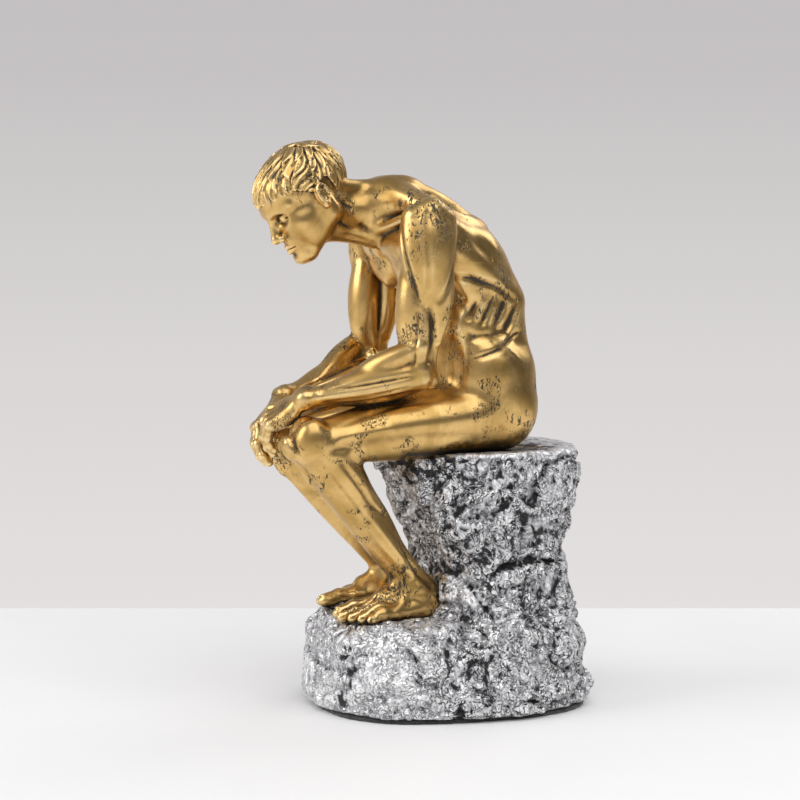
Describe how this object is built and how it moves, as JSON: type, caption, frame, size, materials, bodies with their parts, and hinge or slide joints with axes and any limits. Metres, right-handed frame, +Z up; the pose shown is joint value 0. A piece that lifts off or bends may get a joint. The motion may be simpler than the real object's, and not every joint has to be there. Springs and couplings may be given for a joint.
{
  "type": "seated figure statue",
  "caption": "Tabletop resin statue of a seated figure deep in thought, bowed over clasped hands on a craggy rock, resting on a flat padded underside.",
  "frame": {"origin": "centre of the underside of the base pad, on the table", "axes": "the figure faces -X, its left side is towards -Y, +Z is up"},
  "size_m": [0.1563, 0.1207, 0.258],
  "materials": {
    "gold_resin": "antique gold paint over cast resin, darkened in the hollows",
    "silver_resin": "silver paint over cast resin, with black in the crevices",
    "fibreboard": "plain fibreboard",
    "felt": "black felt",
    "steel_pegs": "plain steel rod"
  },
  "bodies": {
    "root": {"rock_base": "silver_resin", "torso": "gold_resin", "head": "gold_resin", "left_arm": "gold_resin", "right_arm": "gold_resin", "left_leg": "gold_resin", "right_leg": "gold_resin", "closing_board": "fibreboard", "base_pad": "felt", "neck_peg": "steel_pegs", "shoulder_pegs": "steel_pegs", "hip_pegs": "steel_pegs", "seat_pegs": "steel_pegs", "sole_pegs": "steel_pegs"}
  },
  "joints": []
}
